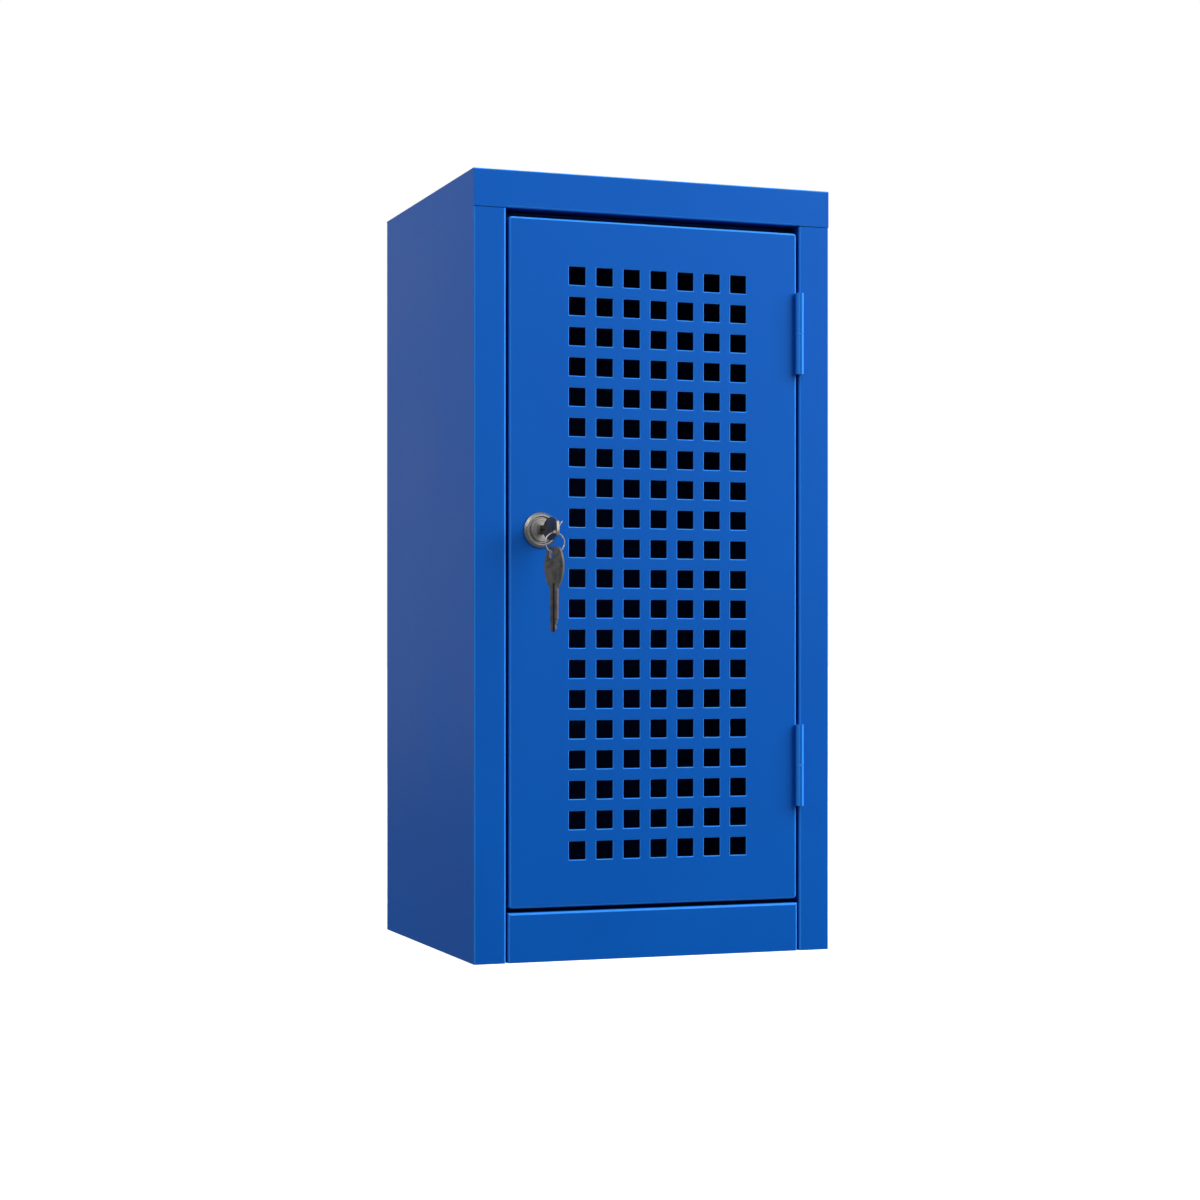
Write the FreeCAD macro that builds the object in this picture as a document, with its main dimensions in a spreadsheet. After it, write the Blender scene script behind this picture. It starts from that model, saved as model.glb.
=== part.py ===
import FreeCAD, Part
import os
import Sketcher

# Perforated sheet-steel locker with one door, a cylinder cam lock and two keys. Millimetres.
# Origin: centre of the cabinet's footprint, on its underside. +X right, +Y to the back, +Z up.
# The front face of the cabinet is the plane y = -depth/2, and the door's skin lies in it.

doc = FreeCAD.newDocument("perforated_locker")

# ---------------------------------------------------------------- driving sizes
SIZES = {
    # cabinet
    "width": 293.0,
    "depth": 254.0,
    "height": 600.0,
    "sheet": 1.0,  # thickness of every steel sheet
    "bend": "=sheet + 1.0",  # outer radius of a fold beside the door
    "edge_bend": "=sheet + 0.2",  # outer radius of the cabinet's own corners
    "post_width": 25.3,
    "header_height": 28.7,
    "plinth_height": 37.7,
    "plinth_gap": 1.5,  # plinth end to post
    "seam": 0.5,  # open seam between two panels
    "flange": 15.0,
    "relief": 0.4,  # clearance of a notched corner
    # door opening
    "side_gap": 2.4,
    "top_gap": 6.2,
    "bottom_gap": 3.3,
    "stop_overlap": 8.6,  # how far the stop lips reach behind the door
    # door
    "door_depth": 19.0,
    "door_lip": 12.0,
    "door_corner": 2.5,
    "columns": 7,
    "rows": 20,
    "column_pitch": 22.2,
    "row_pitch": 23.08,
    "grid_shift": 2.3,  # the grid's centre lies this far to the right of the door's
    "hole_width": 13.4,
    "hole_tall": 13.9,
    "hole_corner": 0.6,
    "mouth": 0.8,  # rolled front edge of each hole
    # rubber buffers
    "buffer_head": 2.2,
    "buffer_gap": 0.3,
    "buffer_radius": 3.5,
    "buffer_edge": 0.7,  # rounding of the head
    "stem_radius": 1.9,
    "stem_clearance": 0.1,
    "barb_radius": 2.6,
    "barb_tip_radius": 0.95,
    "barb_long": 2.0,
    "buffer_inset": 60.0,  # from the door's top and bottom edges
    # wall fixings in the back
    "fixing_span_x": 228.0,
    "fixing_span_z": 500.0,
    "fixing_radius": 4.0,
    # hinges
    "knuckle": 32.0,
    "barrel_radius": 3.3,
    "pin_radius": 2.0,
    "pin_fixed": 0.02,  # radial clearance in the frame half
    "pin_running": 0.05,  # radial clearance in the door half
    "hinge_stand_off": 2.8,  # axis in front of the cabinet's face
    "leaf": 1.5,
    "leaf_depth": 15.0,
    "washer": 0.4,
    "washer_inset": 0.6,  # inside the barrel's outline
    "hinge_low": 146.2,
    "hinge_high": 485.8,
    # lock
    "lock_inset": 25.2,  # from the door's left edge
    "lock_level": 327.8,
    "rosette_radius": 13.65,
    "rosette_floor": 0.6,
    "rosette_rise": 2.6,
    "rosette_edge": 0.78,  # height of its rim, and the rim's rounding
    "crest_outside": 2.0,  # rim to the crest
    "crest_inside": 1.7,  # lock head to the crest
    "dish_gap": 0.9,  # lock head to the dish
    "head_radius": 9.0,
    "head_reach": 3.8,  # in front of the skin
    "head_edge": 0.76,
    "barrel_lock": 8.0,
    "skin_clearance": 0.1,
    "plug_radius": 7.0,
    "plug_tail": 5.0,
    "plug_running": 0.05,
    "plug_recess": 0.2,  # plug face behind the housing's face
    "recess_wide": 8.7,  # hollow round the keyway
    "recess_tall": 7.3,
    "recess_deep": 1.6,
    "plug_step": 15.0,  # where the wide plug ends
    "nut_radius": 12.5,
    "nut_thick": 4.0,
    "nut_clearance": 0.05,
    "cam_gap": 0.1,
    "cam_behind_stop": 3.0,
    "cam_thick": 2.0,
    "cam_half_width": 7.0,
    "cam_reach": 25.0,
    "cam_tip_round": 2.8,
    "cam_tail_round": 5.6,
    "tail_square": 7.0,
    "square_clearance": 0.05,
    "tail_short": 0.2,  # square tail ends inside the cam
    "cam_washer_radius": 6.0,
    "cam_washer_thick": 1.0,
    "screw_head_radius": 4.0,
    "screw_head_thick": 2.6,
    "screw_head_round": 1.04,
    "screw_slot": 1.0,
    "screw_slot_deep": 1.3,
    "screw_radius": 2.0,
    "screw_clearance": 0.05,
    "washer_clearance": 0.2,
    "screw_web": 0.6,  # metal left between keyway and screw hole
    # keys
    "key_thick": 2.0,
    "key_bow": 30.0,
    "key_bow_half": 8.6,
    "bow_belly": 12.6,  # the bow is widest here, from its end
    "bow_crown": 1.0,
    "bow_end_half": 5.2,
    "bow_root_half": 4.5,
    "shoulder_run": 1.2,
    "key_blade": 34.0,
    "key_blade_half": 3.4,
    "groove_deep": 0.4,
    "dimple_deep": 0.3,
    "dimple_radius": 0.7,
    "dimple_offset": 1.9,
    "key_side": 0.15,
    "key_end": 0.5,
    "key_out": 40.5,  # bow's end in front of the skin
    "slot_start": 2.0,
    "slot_long": 7.0,
    "slot_half": 1.55,
    "slot_offset": 2.5,
    "ring_radius": 7.5,
    "wire_radius": 0.58,
    "wire_clearance": 0.15,
    "ring_in_slot": 7.5,  # from the bow's end to the wire
    "spare_in_slot": 4.15,
    "spare_yaw": 56.0,  # degrees
    "spare_along": 20.0,  # degrees round the ring from its lowest point, to the left
}

sheet = doc.addObject("Spreadsheet::Sheet", "Sizes")
for row, (alias, value) in enumerate(SIZES.items(), 1):
    sheet.set(f"A{row}", alias)
    sheet.set(f"B{row}", str(value))
    sheet.setAlias(f"B{row}", alias)
doc.recompute()

# Places used by more than one piece, as expressions on the sheet.
FRONT = "(-Sizes.depth/2)"
BACK = "(Sizes.depth/2)"
STOP = "(Sizes.door_depth + Sizes.buffer_head + Sizes.buffer_gap)"
STOP_END = "(Sizes.post_width + Sizes.side_gap + Sizes.stop_overlap)"
POST_TOP = "(Sizes.height - Sizes.header_height - Sizes.seam)"
HEADER_LOW = "(Sizes.height - Sizes.header_height)"
DOOR_LOW = "(Sizes.plinth_height + Sizes.bottom_gap)"
DOOR_TOP = "(Sizes.height - Sizes.header_height - Sizes.top_gap)"
DOOR_HALF = "(Sizes.width/2 - Sizes.post_width - Sizes.side_gap)"
HINGE_X = "(Sizes.width/2 - Sizes.post_width - Sizes.side_gap/2)"
HINGE_Y = "(-Sizes.depth/2 - Sizes.hinge_stand_off)"
LOCK_X = "(-Sizes.width/2 + Sizes.post_width + Sizes.side_gap + Sizes.lock_inset)"
CAM_FRONT = "(Sizes.door_depth + Sizes.buffer_head + Sizes.buffer_gap + Sizes.sheet + Sizes.cam_behind_stop)"
CAM_BACK = f"({CAM_FRONT} + Sizes.cam_thick)"
KEY_TIP = "(Sizes.key_bow + Sizes.key_blade - Sizes.key_out)"
KEYWAY_END = f"({KEY_TIP} + Sizes.key_end)"
RING_Y = "(-Sizes.depth/2 - Sizes.key_out + Sizes.ring_in_slot)"
RING_TOP = "(-Sizes.slot_offset - Sizes.slot_half + Sizes.wire_radius + Sizes.wire_clearance)"
RING_Z = f"(Sizes.lock_level + {RING_TOP} - Sizes.ring_radius)"

# The blade's edge from shoulder to tip and round it: back from the tip, and height as a share
# of the blade's half width. The groove lies between the two shares, and starts inside the bow.
BITTING = [(9.6, 0.92), (9, 0.7), (6.4, 0.66), (5.8, 0.42)]
BITTING += [(2.2, 0.46), (0, -0.1), (0, -0.45), (1, -0.86)]
GROOVE = (-0.2, 0.26)
GROOVE_START = 2.5
# The wire's free end from the ring's centre, in ring radii: across and up.
RING_TAIL = [(0.34, 0.94), (0.4, 1.6), (0.77, 2.12)]


def size(expression):
    """The number that an expression on the sheet gives."""
    return float(sheet.evalExpression(expression))


# ---------------------------------------------------------------- helpers
def new_body(label):
    body = doc.addObject("PartDesign::Body", label)
    body.Label = label
    return body


def place(thing, x="0", y="0", z="0", rotation=None):
    """Put an object at a place given by three expressions."""
    if rotation is not None:
        thing.Placement = FreeCAD.Placement(FreeCAD.Vector(), rotation)
    for axis, expression in zip("xyz", (x, y, z)):
        thing.setExpression(f"Placement.Base.{axis}", expression)


def new_sketch(body, plane, offset="0"):
    """An empty sketch on one of the body's origin planes, moved along that plane's normal."""
    sketch = body.newObject("Sketcher::SketchObject", "Outline")
    origin_plane = next(part for part in body.Origin.OriginFeatures if part.Role == plane)
    sketch.AttachmentSupport = [(origin_plane, "")]
    sketch.MapMode = "FlatFace"
    sketch.setExpression("AttachmentOffset.Base.z", offset)
    return sketch


def pin_point(sketch, geometry, vertex, point):
    """Tie one point of a sketch to a pair of expressions."""
    for kind, expression in zip(("DistanceX", "DistanceY"), point):
        number = size(expression)
        index = sketch.addConstraint(Sketcher.Constraint(kind, -1, 1, geometry, vertex, number))
        sketch.setExpression(f"Constraints[{index}]", expression)


def add_polygon(sketch, points):
    """A closed outline of straight lines whose corners are pairs of expressions."""
    corners = [FreeCAD.Vector(size(u), size(v), 0) for u, v in points]
    count = len(corners)
    first = sketch.GeometryCount
    for i in range(count):
        sketch.addGeometry(Part.LineSegment(corners[i], corners[(i + 1) % count]), False)
    for i in range(count):
        following = first + (i + 1) % count
        sketch.addConstraint(Sketcher.Constraint("Coincident", first + i, 2, following, 1))
        pin_point(sketch, first + i, 1, points[i])


def add_box(sketch, low_u, high_u, low_v, high_v):
    add_polygon(sketch, [(low_u, low_v), (high_u, low_v), (high_u, high_v), (low_u, high_v)])


def add_circle(sketch, u, v, radius):
    centre = FreeCAD.Vector(size(u), size(v), 0)
    circle = sketch.addGeometry(Part.Circle(centre, FreeCAD.Vector(0, 0, 1), size(radius)), False)
    pin_point(sketch, circle, 3, (u, v))
    index = sketch.addConstraint(Sketcher.Constraint("Radius", circle, size(radius)))
    sketch.setExpression(f"Constraints[{index}]", radius)


def add_closed_path(sketch, pieces):
    """A closed outline of lines and arcs, each starting where the one before ends.

    A piece is a list of two points (a line) or three (an arc through the middle one).
    """
    for piece in pieces:
        ends = [FreeCAD.Vector(size(u), size(v), 0) for u, v in piece]
        curve = Part.LineSegment(*ends) if len(ends) == 2 else Part.Arc(*ends)
        sketch.addGeometry(curve, False)


def pad(body, sketch, length, symmetric=False, reverse=False):
    feature = body.newObject("PartDesign::Pad", "Pad")
    feature.Profile = sketch
    feature.setExpression("Length", length)
    feature.SideType = "Symmetric" if symmetric else "One side"
    feature.Reversed = reverse
    sketch.Visibility = False
    doc.recompute()
    return feature


def pocket(body, sketch, length, symmetric=False, reverse=False):
    """Cut away from the sketch, and refuse a cut that removes nothing."""
    before = body.Shape.Volume
    feature = body.newObject("PartDesign::Pocket", "Pocket")
    feature.Profile = sketch
    feature.setExpression("Length", length)
    feature.SideType = "Symmetric" if symmetric else "One side"
    feature.Reversed = reverse
    sketch.Visibility = False
    doc.recompute()
    if body.Shape.Volume >= before:
        raise RuntimeError(f"{body.Label}: a pocket removes nothing")
    return feature


def revolve(body, points):
    """Turn a polygon of (radius, depth) pairs about the body's Y axis."""
    sketch = new_sketch(body, "XY_Plane")
    add_polygon(sketch, points)
    feature = body.newObject("PartDesign::Revolution", "Revolution")
    feature.Profile = sketch
    axis = next(part for part in body.Origin.OriginFeatures if part.Role == "Y_Axis")
    feature.ReferenceAxis = (axis, [""])
    feature.Angle = 360
    sketch.Visibility = False
    doc.recompute()
    return feature


def fillet(body, radius, wanted):
    """Round every edge of the body that the test accepts."""
    names = [f"Edge{i}" for i, edge in enumerate(body.Shape.Edges, 1) if wanted(edge)]
    if not names:
        raise RuntimeError(f"{body.Label}: no edge to round")
    rounded_feature = body.Tip
    feature = body.newObject("PartDesign::Fillet", "Fillet")
    feature.Base = (rounded_feature, names)
    feature.setExpression("Radius", radius)
    doc.recompute()
    return feature


NEAR = 1e-4


def along(edge, axis):
    """Is this a straight edge parallel to the axis?"""
    if edge.Curve.TypeId != "Part::GeomLine":
        return False
    return abs(abs(getattr(edge.Curve.Direction, axis)) - 1) < NEAR


def passes(edge, **where):
    """Does the edge's middle lie at the given coordinates?"""
    middle = edge.CenterOfMass
    return all(abs(getattr(middle, axis) - value) < NEAR for axis, value in where.items())


def round_edge(body, radius, edge_radius, depth):
    """Round the circular edge of a turned piece that has this radius and depth."""
    wanted_radius, wanted_depth = size(edge_radius), size(depth)

    def wanted(edge):
        if edge.Curve.TypeId != "Part::GeomCircle":
            return False
        centre = edge.Curve.Center
        on_axis = abs(centre.x) + abs(centre.z) < NEAR
        same = abs(edge.Curve.Radius - wanted_radius) < NEAR
        return on_axis and same and abs(centre.y - wanted_depth) < NEAR

    fillet(body, radius, wanted)


def turn(a, b, c):
    """Positive where a path through three points turns left."""
    return (b[0] - a[0]) * (c[1] - b[1]) - (b[1] - a[1]) * (c[0] - b[0])


def folded(body, plane, path, side, length, radii, symmetric=False, offset="0"):
    """A folded strip of sheet: a path of right-angled corners, thickened to one side.

    side is +1 to thicken to the left of the path and -1 to the right. radii gives each corner's
    outer radius as an expression, or None for a corner that stays sharp.
    """
    spots = [(size(u), size(v)) for u, v in path]
    normals = []
    for (u0, v0), (u1, v1) in zip(spots, spots[1:]):
        run = abs(u1 - u0) + abs(v1 - v0)
        normals.append((-side * (v1 - v0) / run, side * (u1 - u0) / run))
    far_side = []
    for i, (u, v) in enumerate(path):
        near = {normals[max(i - 1, 0)], normals[min(i, len(normals) - 1)]}
        shift_u = round(sum(normal[0] for normal in near))
        shift_v = round(sum(normal[1] for normal in near))
        far_side.append((f"{u} + {shift_u}*Sizes.sheet", f"{v} + {shift_v}*Sizes.sheet"))
    sketch = new_sketch(body, plane, offset)
    add_polygon(sketch, path + far_side[::-1])
    pad(body, sketch, length, symmetric)
    axes = {"XY_Plane": "xyz", "YZ_Plane": "yzx", "XZ_Plane": "xzy"}[plane]
    for corner, radius in zip(range(1, len(path) - 1), radii):
        if radius is None:
            continue
        left = turn(*spots[corner - 1 : corner + 2]) > 0
        outer, inner = path[corner], far_side[corner]
        if left == (side < 0):
            outer, inner = inner, outer
        for spot, amount in ((outer, radius), (inner, f"{radius} - Sizes.sheet")):
            where = {axes[0]: size(spot[0]), axes[1]: size(spot[1])}
            fillet(body, amount, lambda e: along(e, axes[2]) and passes(e, **where))


# ---------------------------------------------------------------- cabinet
def side_panel(label, hand):
    """Side wall with its front post, door stop and back flange. hand is -1 left, +1 right."""
    body = new_body(label)

    def inward(distance):
        return f"{hand}*(Sizes.width/2 - {distance})"

    path = [
        (inward(STOP_END), f"{FRONT} + {STOP}"),
        (inward("Sizes.post_width"), f"{FRONT} + {STOP}"),
        (inward("Sizes.post_width"), FRONT),
        (inward("0"), FRONT),
        (inward("0"), BACK),
        (inward("Sizes.flange"), BACK),
    ]
    radii = ["Sizes.bend", "Sizes.bend", "Sizes.edge_bend", "Sizes.edge_bend"]
    folded(body, "XY_Plane", path, hand, "Sizes.height - Sizes.sheet", radii)

    # The post ends under the header, and the wall stands behind the header's fold.
    above = new_sketch(body, "XY_Plane", POST_TOP)
    clear = f"({STOP_END} + Sizes.bend)"
    add_polygon(
        above,
        [
            (inward("(-Sizes.bend)"), f"{FRONT} - Sizes.bend"),
            (inward("(-Sizes.bend)"), f"{FRONT} + Sizes.edge_bend"),
            (inward("Sizes.sheet"), f"{FRONT} + Sizes.edge_bend"),
            (inward("Sizes.sheet"), f"{FRONT} + {STOP} + Sizes.sheet + Sizes.relief"),
            (inward(clear), f"{FRONT} + {STOP} + Sizes.sheet + Sizes.relief"),
            (inward(clear), f"{FRONT} - Sizes.bend"),
        ],
    )
    pocket(body, above, "Sizes.header_height + Sizes.seam", reverse=True)

    # Flange that carries the roof.
    shelf = new_sketch(body, "XY_Plane", "Sizes.height - 2*Sizes.sheet")
    near, far = sorted((inward("(Sizes.sheet/2)"), inward("Sizes.flange")), key=size)
    add_box(shelf, near, far, f"{FRONT} + {STOP} + Sizes.flange", f"{BACK} - Sizes.flange")
    pad(body, shelf, "Sizes.sheet")
    return body


def drill_buffer_holes(body):
    lip_middle = "(Sizes.post_width + Sizes.side_gap + Sizes.stop_overlap/2)"
    holes = new_sketch(body, "XZ_Plane", f"-({FRONT} + {STOP} - Sizes.sheet)")
    for level in BUFFER_LEVELS.values():
        add_circle(
            holes,
            f"-Sizes.width/2 + {lip_middle}",
            level,
            "Sizes.stem_radius + Sizes.stem_clearance",
        )
    pocket(body, holes, "3*Sizes.sheet")


def top_panel():
    """Roof with the header folded down in front, the stop behind the door's top, and a back flange."""
    body = new_body("top_panel")
    strip = "(3*Sizes.bend)"
    between = "Sizes.width - 2*Sizes.post_width"
    roof = [(BACK, "Sizes.height"), (FRONT, "Sizes.height"), (FRONT, f"{HEADER_LOW} + {strip}")]
    folded(body, "YZ_Plane", roof, 1, "Sizes.width", ["Sizes.edge_bend"], symmetric=True)

    # The header's lower edge is folded back between the posts, then down behind the door.
    edge = [
        (FRONT, f"{HEADER_LOW} + {strip}"),
        (FRONT, HEADER_LOW),
        (f"{FRONT} + {STOP}", HEADER_LOW),
        (f"{FRONT} + {STOP}", f"{HEADER_LOW} - Sizes.top_gap - Sizes.stop_overlap"),
    ]
    folded(body, "YZ_Plane", edge, 1, between, ["Sizes.bend", "Sizes.bend"], symmetric=True)

    # Over each post it is plain sheet.
    over_posts = new_sketch(body, "XZ_Plane", f"-{FRONT}")
    post_edge = "(Sizes.width/2 - Sizes.post_width)"
    top = f"{HEADER_LOW} + {strip}"
    add_box(over_posts, "-Sizes.width/2", f"-{post_edge}", HEADER_LOW, top)
    add_box(over_posts, post_edge, "Sizes.width/2", HEADER_LOW, top)
    pad(body, over_posts, "Sizes.sheet", reverse=True)

    # The stop is notched round the stop lips of the posts.
    notches = new_sketch(body, "XY_Plane", f"{HEADER_LOW} - Sizes.top_gap - 2*Sizes.stop_overlap")
    notch_end = f"(Sizes.width/2 - {STOP_END} - Sizes.relief)"
    near = f"{FRONT} + {STOP} - Sizes.relief"
    far = f"{FRONT} + {STOP} + 2*Sizes.sheet"
    add_box(notches, f"-{post_edge} - Sizes.sheet", f"-{notch_end}", near, far)
    add_box(notches, notch_end, f"{post_edge} + Sizes.sheet", near, far)
    reach = "Sizes.top_gap + 2*Sizes.stop_overlap + Sizes.bend"
    pocket(body, notches, reach, reverse=True)

    back = new_sketch(body, "YZ_Plane")
    near, low = f"{BACK} - Sizes.sheet", "Sizes.height - Sizes.flange"
    add_box(back, near, BACK, low, "Sizes.height")
    pad(body, back, "Sizes.width - 2*Sizes.flange - 2*Sizes.relief", symmetric=True)
    return body


def floor_panel():
    """Shallow tray that closes the bottom behind the plinth."""
    body = new_body("floor_panel")
    half = "(Sizes.width/2 - Sizes.sheet)"
    near = f"({FRONT} + {STOP} + Sizes.sheet + Sizes.seam)"
    far = f"({BACK} - 2*Sizes.sheet)"
    outline = new_sketch(body, "XY_Plane")
    add_box(outline, f"-{half}", half, near, far)
    pad(body, outline, "Sizes.flange")
    inside = new_sketch(body, "XY_Plane", "Sizes.sheet")
    add_box(
        inside,
        f"-{half} + Sizes.sheet",
        f"{half} - Sizes.sheet",
        f"{near} + Sizes.sheet",
        f"{far} - Sizes.sheet",
    )
    pocket(body, inside, "Sizes.flange", reverse=True)
    fillet(body, "Sizes.edge_bend", lambda e: passes(e, z=0))
    return body


def plinth_panel():
    """Front rail between the posts, folded on every side, with the stop below the door."""
    body = new_body("plinth_panel")
    half = "(Sizes.width/2 - Sizes.post_width - Sizes.plinth_gap)"
    rail_depth = f"({STOP} - Sizes.relief)"
    face = new_sketch(body, "XZ_Plane", f"-{FRONT}")
    add_box(face, f"-{half}", half, "0", "Sizes.plinth_height")
    pad(body, face, rail_depth, reverse=True)
    front, top, end = size(FRONT), size("Sizes.plinth_height"), size(half)

    def rounded(edge):
        upper = along(edge, "x") and passes(edge, y=front, z=top)
        upright = along(edge, "z") and (
            passes(edge, y=front, x=end) or passes(edge, y=front, x=-end)
        )
        return upper or upright

    fillet(body, "Sizes.bend", rounded)
    hollow = new_sketch(body, "XZ_Plane", f"-({FRONT} + Sizes.sheet)")
    inner = f"({half} - Sizes.sheet)"
    add_box(hollow, f"-{inner}", inner, "Sizes.sheet", "Sizes.plinth_height - Sizes.sheet")
    pocket(body, hollow, f"{rail_depth} + Sizes.sheet")

    stop = [
        (f"{FRONT} + {STOP} - 2*Sizes.bend", "Sizes.plinth_height"),
        (f"{FRONT} + {STOP}", "Sizes.plinth_height"),
        (f"{FRONT} + {STOP}", f"{DOOR_LOW} + Sizes.stop_overlap"),
    ]
    length = f"Sizes.width - 2*{STOP_END} - 2*Sizes.relief"
    folded(body, "YZ_Plane", stop, -1, length, ["Sizes.bend"], symmetric=True)
    return body


def back_panel():
    """Flat sheet inside the back flanges, with four holes for wall fixings."""
    body = new_body("back_panel")
    half = "(Sizes.width/2 - Sizes.sheet - Sizes.relief)"
    outline = new_sketch(body, "XZ_Plane", f"-({BACK} - Sizes.sheet)")
    add_box(outline, f"-{half}", half, "0", "Sizes.height - Sizes.sheet")
    for side in (-1, 1):
        for level in (-1, 1):
            add_circle(
                outline,
                f"{side}*Sizes.fixing_span_x/2",
                f"Sizes.height/2 + {level}*Sizes.fixing_span_z/2",
                "Sizes.fixing_radius",
            )
    pad(body, outline, "Sizes.sheet")
    return body


BUFFER_LEVELS = {
    "lower_door_buffer": f"({DOOR_LOW} + Sizes.buffer_inset)",
    "upper_door_buffer": f"({DOOR_TOP} - Sizes.buffer_inset)",
}


def door_buffer(label, level):
    """Rubber button pushed through the left stop lip."""
    body = new_body(label)
    barb_end = "Sizes.sheet + Sizes.barb_long"
    revolve(
        body,
        [
            ("0", "-Sizes.buffer_head"),
            ("Sizes.buffer_radius", "-Sizes.buffer_head"),
            ("Sizes.buffer_radius", "0"),
            ("Sizes.stem_radius", "0"),
            ("Sizes.stem_radius", "Sizes.sheet"),
            ("Sizes.barb_radius", "Sizes.sheet"),
            ("Sizes.barb_tip_radius", barb_end),
            ("0", barb_end),
        ],
    )
    round_edge(body, "Sizes.buffer_edge", "Sizes.buffer_radius", "-Sizes.buffer_head")
    lip_middle = "(Sizes.post_width + Sizes.side_gap + Sizes.stop_overlap/2)"
    place(body, f"-Sizes.width/2 + {lip_middle}", f"{FRONT} + {STOP}", level)
    return body


# ---------------------------------------------------------------- door
def door_pan():
    """Plain pan of the door: flanges all round, folded in again at the back."""
    body = new_body("door_pan")
    skin = new_sketch(body, "XZ_Plane", f"-{FRONT}")
    add_box(skin, f"-{DOOR_HALF}", DOOR_HALF, DOOR_LOW, DOOR_TOP)
    pad(body, skin, "Sizes.door_depth", reverse=True)
    front = size(FRONT)
    fillet(body, "Sizes.door_corner", lambda e: along(e, "y"))
    fillet(body, "Sizes.bend", lambda e: passes(e, y=front))

    # The hollow stays closed until its own corners are rounded.
    before = {round(edge.CenterOfMass.Length, 3) for edge in body.Shape.Edges}
    hollow = new_sketch(body, "XZ_Plane", f"-({FRONT} + Sizes.sheet)")
    add_box(
        hollow,
        f"-{DOOR_HALF} + Sizes.sheet",
        f"{DOOR_HALF} - Sizes.sheet",
        f"{DOOR_LOW} + Sizes.sheet",
        f"{DOOR_TOP} - Sizes.sheet",
    )
    pocket(body, hollow, "Sizes.door_depth - 2*Sizes.sheet")

    def inside(edge):
        return round(edge.CenterOfMass.Length, 3) not in before

    fillet(body, "Sizes.door_corner - Sizes.sheet", lambda e: along(e, "y") and inside(e))
    fillet(
        body,
        "Sizes.bend - Sizes.sheet",
        lambda e: passes(e, y=front + size("Sizes.sheet")) and inside(e),
    )
    opening = new_sketch(body, "XZ_Plane", f"-({FRONT} + Sizes.door_depth - 1.5*Sizes.sheet)")
    add_box(
        opening,
        f"-{DOOR_HALF} + Sizes.door_lip",
        f"{DOOR_HALF} - Sizes.door_lip",
        f"{DOOR_LOW} + Sizes.door_lip",
        f"{DOOR_TOP} - Sizes.door_lip",
    )
    pocket(body, opening, "2*Sizes.sheet")

    lock_hole = new_sketch(body, "XZ_Plane", f"-{FRONT}")
    add_circle(lock_hole, LOCK_X, "Sizes.lock_level", "Sizes.barrel_lock + Sizes.skin_clearance")
    pocket(body, lock_hole, "2*Sizes.sheet")
    return body


def door_panel():
    """The pan with its grid of square holes, each with a rolled front edge."""
    pan = door_pan()
    columns, rows = round(size("Sizes.columns")), round(size("Sizes.rows"))
    across, up = size("Sizes.column_pitch"), size("Sizes.row_pitch")
    wide, tall = size("Sizes.hole_width"), size("Sizes.hole_tall")
    thick, front = size("Sizes.sheet"), size(FRONT)
    middle_x = size("Sizes.grid_shift")
    middle_z = size(f"({DOOR_LOW} + {DOOR_TOP})/2")
    first_x = middle_x - (columns - 1) * across / 2
    first_z = middle_z - (rows - 1) * up / 2

    punch = Part.makeBox(wide, 3 * thick, tall, FreeCAD.Vector(-wide / 2, -thick, -tall / 2))
    corners = [edge for edge in punch.Edges if along(edge, "y")]
    punch = punch.makeFillet(size("Sizes.hole_corner"), corners)
    punches = []
    for column in range(columns):
        for row in range(rows):
            spot = FreeCAD.Vector(first_x + column * across, front, first_z + row * up)
            punches.append(punch.translated(spot))
    shape = pan.Shape.cut(Part.makeCompound(punches))

    half_x = (columns - 1) * across / 2 + wide
    half_z = (rows - 1) * up / 2 + tall

    def mouth_edge(edge):
        spot = edge.CenterOfMass
        in_grid = abs(spot.x - middle_x) < half_x and abs(spot.z - middle_z) < half_z
        return abs(spot.y - front) < NEAR and in_grid

    mouths = [edge for edge in shape.Edges if mouth_edge(edge)]
    door = doc.addObject("Part::Feature", "door_panel")
    door.Label = "door_panel"
    door.Shape = shape.makeFillet(size("Sizes.mouth"), mouths)
    return door


# ---------------------------------------------------------------- hinges
def cylinder(label, radius, height, x, y, z):
    thing = doc.addObject("Part::Cylinder", label)
    thing.setExpression("Radius", radius)
    thing.setExpression("Height", height)
    place(thing, x, y, z)
    return thing


def box(label, x, y, z, long, deep, tall):
    thing = doc.addObject("Part::Box", label)
    thing.setExpression("Length", long)
    thing.setExpression("Width", deep)
    thing.setExpression("Height", tall)
    place(thing, x, y, z)
    return thing


def cut(label, base, tool):
    thing = doc.addObject("Part::Cut", label)
    thing.Base = base
    thing.Tool = tool
    thing.Label = label
    return thing


def fuse(label, pieces):
    thing = doc.addObject("Part::MultiFuse", label)
    thing.Shapes = pieces
    thing.Refine = True
    thing.Label = label
    return thing


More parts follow.
